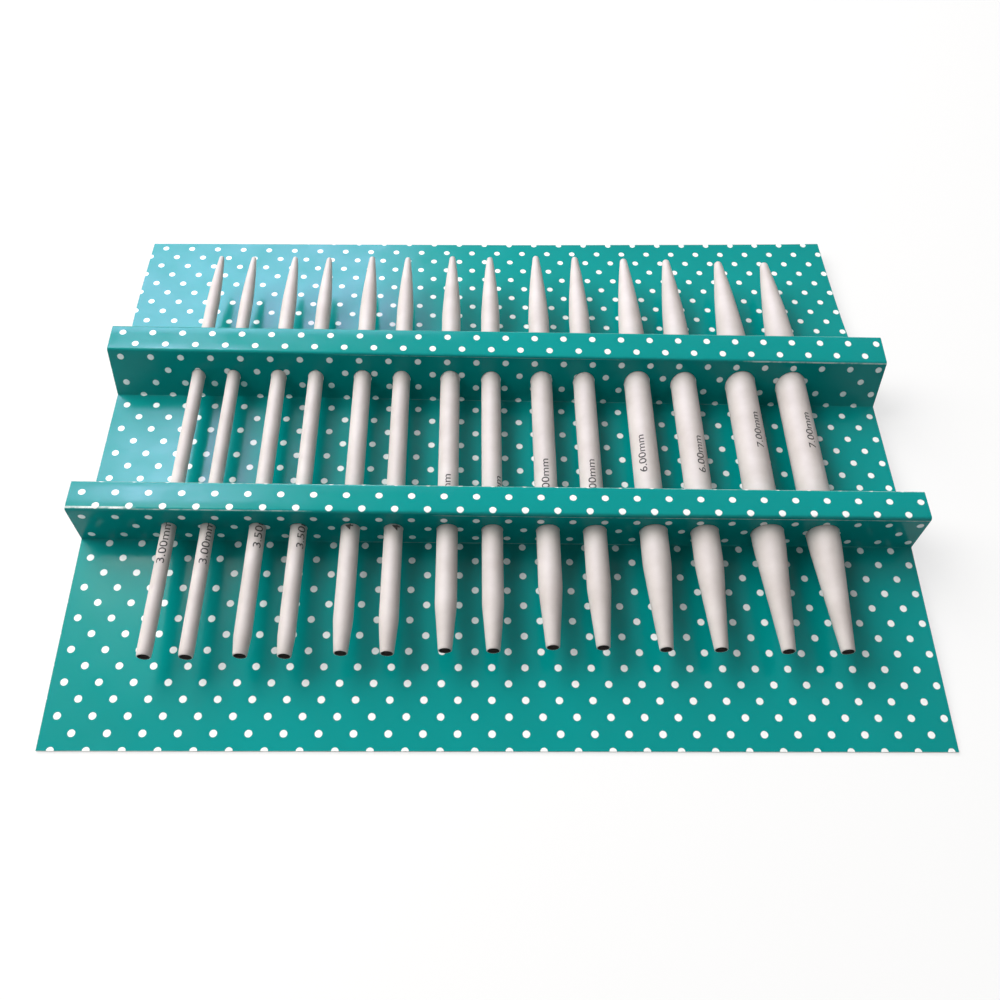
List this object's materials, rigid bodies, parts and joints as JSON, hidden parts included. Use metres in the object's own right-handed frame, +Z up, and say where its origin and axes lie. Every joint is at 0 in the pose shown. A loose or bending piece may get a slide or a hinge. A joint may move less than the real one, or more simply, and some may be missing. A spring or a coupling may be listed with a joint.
{
  "type": "knitting needle case",
  "caption": "Folded card case with two raised rails, whose punched holes hold pairs of interchangeable knitting needle tips in rising sizes.",
  "frame": {"origin": "middle of the card's footprint, on the surface that it lies on", "axes": "+X to the right along the rails, from the thin tips to the thick ones; +Y from the socket ends to the points; +Z up"},
  "size_m": [0.181, 0.1398, 0.015],
  "materials": {
    "printed_board": "gloss print outside, plain white inside",
    "needle_aluminium": "satin, light warm grey"
  },
  "bodies": {
    "card": {"lower_rail_front_wall": "printed_board", "lower_rail_top": "printed_board", "lower_rail_back_wall": "printed_board", "middle_panel": "printed_board", "upper_rail_front_wall": "printed_board", "upper_rail_top": "printed_board", "upper_rail_back_wall": "printed_board"},
    "front_flap": {"front_flap": "printed_board"},
    "rear_flap": {"rear_flap": "printed_board"},
    "tip_3_0_a": {"tip_3_0_a": "needle_aluminium"},
    "tip_3_0_b": {"tip_3_0_b": "needle_aluminium"},
    "tip_3_5_a": {"tip_3_5_a": "needle_aluminium"},
    "tip_3_5_b": {"tip_3_5_b": "needle_aluminium"},
    "tip_4_0_a": {"tip_4_0_a": "needle_aluminium"},
    "tip_4_0_b": {"tip_4_0_b": "needle_aluminium"},
    "tip_4_5_a": {"tip_4_5_a": "needle_aluminium"},
    "tip_4_5_b": {"tip_4_5_b": "needle_aluminium"},
    "tip_5_0_a": {"tip_5_0_a": "needle_aluminium"},
    "tip_5_0_b": {"tip_5_0_b": "needle_aluminium"},
    "tip_6_0_a": {"tip_6_0_a": "needle_aluminium"},
    "tip_6_0_b": {"tip_6_0_b": "needle_aluminium"},
    "tip_7_0_a": {"tip_7_0_a": "needle_aluminium"},
    "tip_7_0_b": {"tip_7_0_b": "needle_aluminium"}
  },
  "joints": [
    {"name": "front_flap_fold", "type": "hinge", "parent": "card", "child": "front_flap", "pos_m": [0, -0.02421, 0.00303], "axis": [1, 0, 0], "range_deg": [-7, 87]},
    {"name": "rear_flap_fold", "type": "hinge", "parent": "card", "child": "rear_flap", "pos_m": [0, 0.02499, 0.00303], "axis": [-1, 0, 0], "range_deg": [-7, 87]},
    {"name": "tip_3_0_a_slide", "type": "slide", "parent": "card", "child": "tip_3_0_a", "axis": [0, -1, 0], "range_m": [-0.01, 0.13]},
    {"name": "tip_3_0_b_slide", "type": "slide", "parent": "card", "child": "tip_3_0_b", "axis": [0, -1, 0], "range_m": [-0.01, 0.13]},
    {"name": "tip_3_5_a_slide", "type": "slide", "parent": "card", "child": "tip_3_5_a", "axis": [0, -1, 0], "range_m": [-0.01, 0.13]},
    {"name": "tip_3_5_b_slide", "type": "slide", "parent": "card", "child": "tip_3_5_b", "axis": [0, -1, 0], "range_m": [-0.01, 0.13]},
    {"name": "tip_4_0_a_slide", "type": "slide", "parent": "card", "child": "tip_4_0_a", "axis": [0, -1, 0], "range_m": [-0.01, 0.13]},
    {"name": "tip_4_0_b_slide", "type": "slide", "parent": "card", "child": "tip_4_0_b", "axis": [0, -1, 0], "range_m": [-0.01, 0.13]},
    {"name": "tip_4_5_a_slide", "type": "slide", "parent": "card", "child": "tip_4_5_a", "axis": [0, -1, 0], "range_m": [-0.01, 0.13]},
    {"name": "tip_4_5_b_slide", "type": "slide", "parent": "card", "child": "tip_4_5_b", "axis": [0, -1, 0], "range_m": [-0.01, 0.13]},
    {"name": "tip_5_0_a_slide", "type": "slide", "parent": "card", "child": "tip_5_0_a", "axis": [0, -1, 0], "range_m": [-0.01, 0.13]},
    {"name": "tip_5_0_b_slide", "type": "slide", "parent": "card", "child": "tip_5_0_b", "axis": [0, -1, 0], "range_m": [-0.01, 0.13]},
    {"name": "tip_6_0_a_slide", "type": "slide", "parent": "card", "child": "tip_6_0_a", "axis": [0, -1, 0], "range_m": [-0.01, 0.13]},
    {"name": "tip_6_0_b_slide", "type": "slide", "parent": "card", "child": "tip_6_0_b", "axis": [0, -1, 0], "range_m": [-0.01, 0.13]},
    {"name": "tip_7_0_a_slide", "type": "slide", "parent": "card", "child": "tip_7_0_a", "axis": [0, -1, 0], "range_m": [-0.01, 0.13]},
    {"name": "tip_7_0_b_slide", "type": "slide", "parent": "card", "child": "tip_7_0_b", "axis": [0, -1, 0], "range_m": [-0.01, 0.13]}
  ]
}
